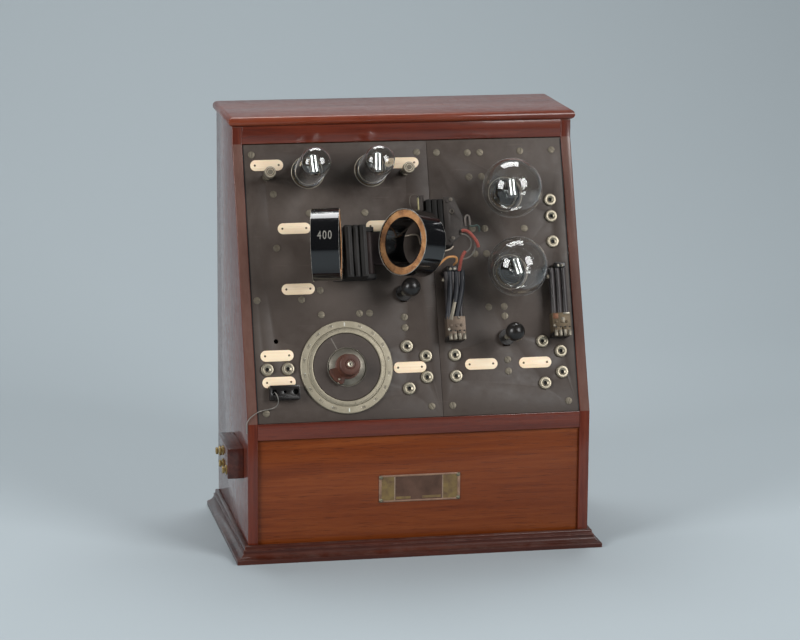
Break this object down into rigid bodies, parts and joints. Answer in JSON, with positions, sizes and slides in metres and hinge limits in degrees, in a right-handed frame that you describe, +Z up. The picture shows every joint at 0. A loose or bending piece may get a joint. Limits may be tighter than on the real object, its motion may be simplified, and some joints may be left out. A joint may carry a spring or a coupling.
{
  "type": "early radio receiver",
  "caption": "Sloping-front valve radio receiver: mahogany cabinet, ebonite panels, plug-in valves, swinging honeycomb coils, tuning dial, sockets and lever switches.",
  "frame": {"origin": "on the floor plane under the middle of the cabinet footprint", "axes": "+Z up, the front faces -Y, +X to the right as seen from the front"},
  "size_m": [0.3946, 0.2537, 0.4465],
  "materials": {
    "mahogany": "polished",
    "front_wood": "satin",
    "inner_wood": "matte",
    "ebonite": "satin",
    "black_ebonite": "gloss",
    "ivory": "satin",
    "nickel": "worn satin",
    "brass": "worn satin",
    "copper_brown": "tarnished",
    "glass": "clear",
    "celluloid": "gloss",
    "cotton_winding": "matte",
    "knob_brown": "broken",
    "dark_iron": "satin",
    "tag_metal": "dull",
    "lead_red": "matte",
    "lead_orange": "matte",
    "grey_wire": "matte"
  },
  "bodies": {
    "cabinet": {"left_side": "mahogany", "right_side": "mahogany", "lid": "mahogany", "frieze_rail": "mahogany", "front_rail": "mahogany", "front_board": "front_wood", "base_moulding": "mahogany", "bottom_board": "inner_wood", "back_board": "inner_wood", "panel_battens": "inner_wood", "name_plate": "brass", "plate_pins": "brass", "side_block": "mahogany", "side_terminals": "brass", "tuning_panel": "ebonite", "amplifier_panel": "ebonite", "screws": "nickel", "label_plates": "ivory", "plug_sockets": "nickel", "socket_block": "black_ebonite", "scale_ring": "nickel", "condenser_frame": "brass", "condenser_stator": "nickel", "coil_stand": "black_ebonite", "lead_block": "black_ebonite", "lead_plate": "tag_metal", "valve_holders": "nickel", "transformers": "dark_iron", "rheostat_frames": "dark_iron", "key_frames": "brass", "terminal_studs": "nickel", "coil_leads": "lead_orange", "tag_leads": "lead_red", "loose_wire": "grey_wire"},
    "tuning": {"dial_disc": "ebonite", "knob_plate": "nickel", "tuning_knob": "knob_brown", "condenser_rotor": "nickel"},
    "large_arm": {"left_coil_arm": "copper_brown"},
    "large_coil": {"large_coil_band": "celluloid", "large_coil_core": "cotton_winding", "large_coil_winding": "cotton_winding", "large_coil_plug": "black_ebonite"},
    "small_arm": {"right_coil_arm": "copper_brown"},
    "small_coil": {"small_coil_band": "celluloid", "small_coil_winding": "cotton_winding", "small_coil_plug": "black_ebonite"},
    "left_slider": {"left_slider": "copper_brown"},
    "right_slider": {"right_slider": "copper_brown"},
    "left_key": {"left_key": "black_ebonite"},
    "right_key": {"right_key": "black_ebonite"},
    "left_nut": {"left_nut": "nickel"},
    "right_nut": {"right_nut": "nickel"},
    "valve_1": {"valve_1_glass": "glass", "valve_1_mount": "nickel"},
    "valve_2": {"valve_2_glass": "glass", "valve_2_mount": "nickel"},
    "valve_3": {"valve_3_glass": "glass", "valve_3_mount": "nickel"},
    "valve_4": {"valve_4_glass": "glass", "valve_4_mount": "nickel"}
  },
  "joints": [
    {"name": "tuning_turn", "type": "hinge", "parent": "cabinet", "child": "tuning", "pos_m": [-0.074, -0.09245, 0.19995], "axis": [0, -0.9362, 0.3515], "range_deg": [-120, 60]},
    {"name": "large_coil_swing", "type": "hinge", "parent": "cabinet", "child": "large_arm", "pos_m": [-0.0775, -0.05056, 0.30866], "axis": [0, 0.3515, 0.9362], "range_deg": [-25, 6]},
    {"name": "large_coil_unplug", "type": "slide", "parent": "large_arm", "child": "large_coil", "axis": [-0.1908, -0.919, 0.345], "range_m": [0, 0.014]},
    {"name": "small_coil_swing", "type": "hinge", "parent": "cabinet", "child": "small_arm", "pos_m": [-0.0445, -0.05056, 0.30866], "axis": [0, 0.3515, 0.9362], "range_deg": [-35, 0]},
    {"name": "small_coil_unplug", "type": "slide", "parent": "small_arm", "child": "small_coil", "axis": [0.5736, -0.7669, 0.2879], "range_m": [0, 0.014]},
    {"name": "valve_1_pull", "type": "slide", "parent": "cabinet", "child": "valve_1", "axis": [0, -0.9362, 0.3515], "range_m": [0, 0.018]},
    {"name": "valve_2_pull", "type": "slide", "parent": "cabinet", "child": "valve_2", "axis": [0, -0.9362, 0.3515], "range_m": [0, 0.018]},
    {"name": "valve_3_pull", "type": "slide", "parent": "cabinet", "child": "valve_3", "axis": [0, -0.9362, 0.3515], "range_m": [0, 0.018]},
    {"name": "valve_4_pull", "type": "slide", "parent": "cabinet", "child": "valve_4", "axis": [0, -0.9362, 0.3515], "range_m": [0, 0.018]},
    {"name": "left_slider_travel", "type": "slide", "parent": "cabinet", "child": "left_slider", "axis": [0, 0.3515, 0.9362], "range_m": [0, 0.044]},
    {"name": "right_slider_travel", "type": "slide", "parent": "cabinet", "child": "right_slider", "axis": [0, 0.3515, 0.9362], "range_m": [0, 0.044]},
    {"name": "left_key_throw", "type": "hinge", "parent": "cabinet", "child": "left_key", "pos_m": [-0.0096, -0.04182, 0.26083], "axis": [1, 0, 0], "range_deg": [0, 18]},
    {"name": "right_key_throw", "type": "hinge", "parent": "cabinet", "child": "right_key", "pos_m": [0.0965, -0.05939, 0.21402], "axis": [1, 0, 0], "range_deg": [0, 18]},
    {"name": "left_nut_turn", "type": "hinge", "parent": "cabinet", "child": "left_nut", "pos_m": [-0.146, -0.03584, 0.39339], "axis": [0, -0.9362, 0.3515], "continuous": true},
    {"name": "right_nut_turn", "type": "hinge", "parent": "cabinet", "child": "right_nut", "pos_m": [-0.0008, -0.03538, 0.39461], "axis": [0, -0.9362, 0.3515], "continuous": true}
  ]
}
